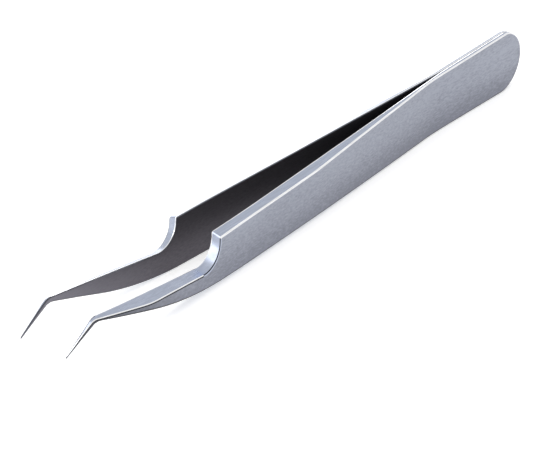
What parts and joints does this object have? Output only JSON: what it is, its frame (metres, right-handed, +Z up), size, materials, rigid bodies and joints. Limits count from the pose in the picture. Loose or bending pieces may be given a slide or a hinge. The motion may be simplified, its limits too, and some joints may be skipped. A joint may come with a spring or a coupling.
{
  "type": "tweezers",
  "caption": "Fine angled tweezers with slim steel arms welded at the rounded end, stepped down at the shoulder to needle points that bend downwards.",
  "frame": {"origin": "on the ground that the lower edges rest on, below the middle of the length and between the arms", "axes": "+X from the points to the rounded end, +Y across the arms towards the right arm, +Z up"},
  "size_m": [0.115, 0.0114, 0.0105],
  "materials": {
    "stainless_steel": "satin, brushed lengthwise, with bright ground edges"
  },
  "bodies": {
    "root": {"left_arm": "stainless_steel", "right_arm": "stainless_steel"}
  },
  "joints": []
}
